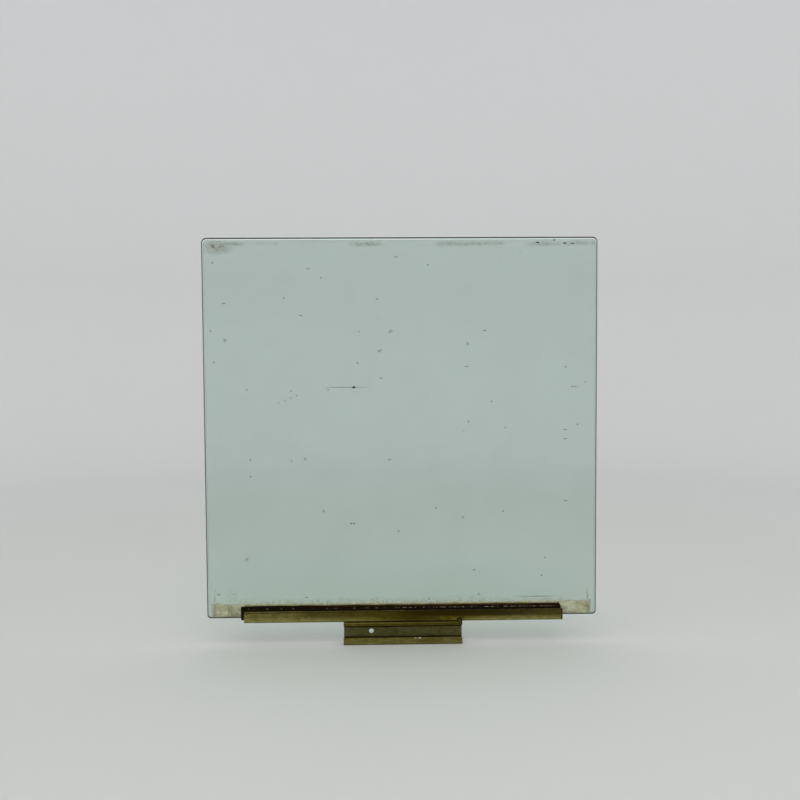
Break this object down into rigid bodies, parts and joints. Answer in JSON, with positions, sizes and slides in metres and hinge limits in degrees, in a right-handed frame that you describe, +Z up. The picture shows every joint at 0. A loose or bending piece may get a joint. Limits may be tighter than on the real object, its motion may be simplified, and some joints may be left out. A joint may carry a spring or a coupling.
{
  "type": "vehicle door drop glass",
  "caption": "Flat tinted drop glass for a vehicle door, gripped by a rubber-lined steel lift channel with a short C-section lift rail beneath.",
  "frame": {"origin": "under the middle of the glass, half way through its thickness, level with the underside of the lift rail", "axes": "+X along the glass to the right as seen from the rail's open side, +Y through the glass away from the rail's open side, +Z up the glass"},
  "size_m": [0.5, 0.014, 0.5198],
  "materials": {
    "tinted_glass": "clear tempered glass with a faint green tint, ground edges, and dried dirt along its top and bottom",
    "glazing_rubber": "aged dark brown-black rubber with dried sealant in its groove",
    "passivated_steel": "yellow-passivated sheet steel dulled to olive, with brown grime",
    "weld_steel": "rough weld metal, olive-brown"
  },
  "bodies": {
    "root": {"glass_pane": "tinted_glass", "glazing_rubber": "glazing_rubber", "lift_channel": "passivated_steel", "lift_rail": "passivated_steel", "spot_welds": "weld_steel", "tack_weld": "weld_steel"}
  },
  "joints": []
}
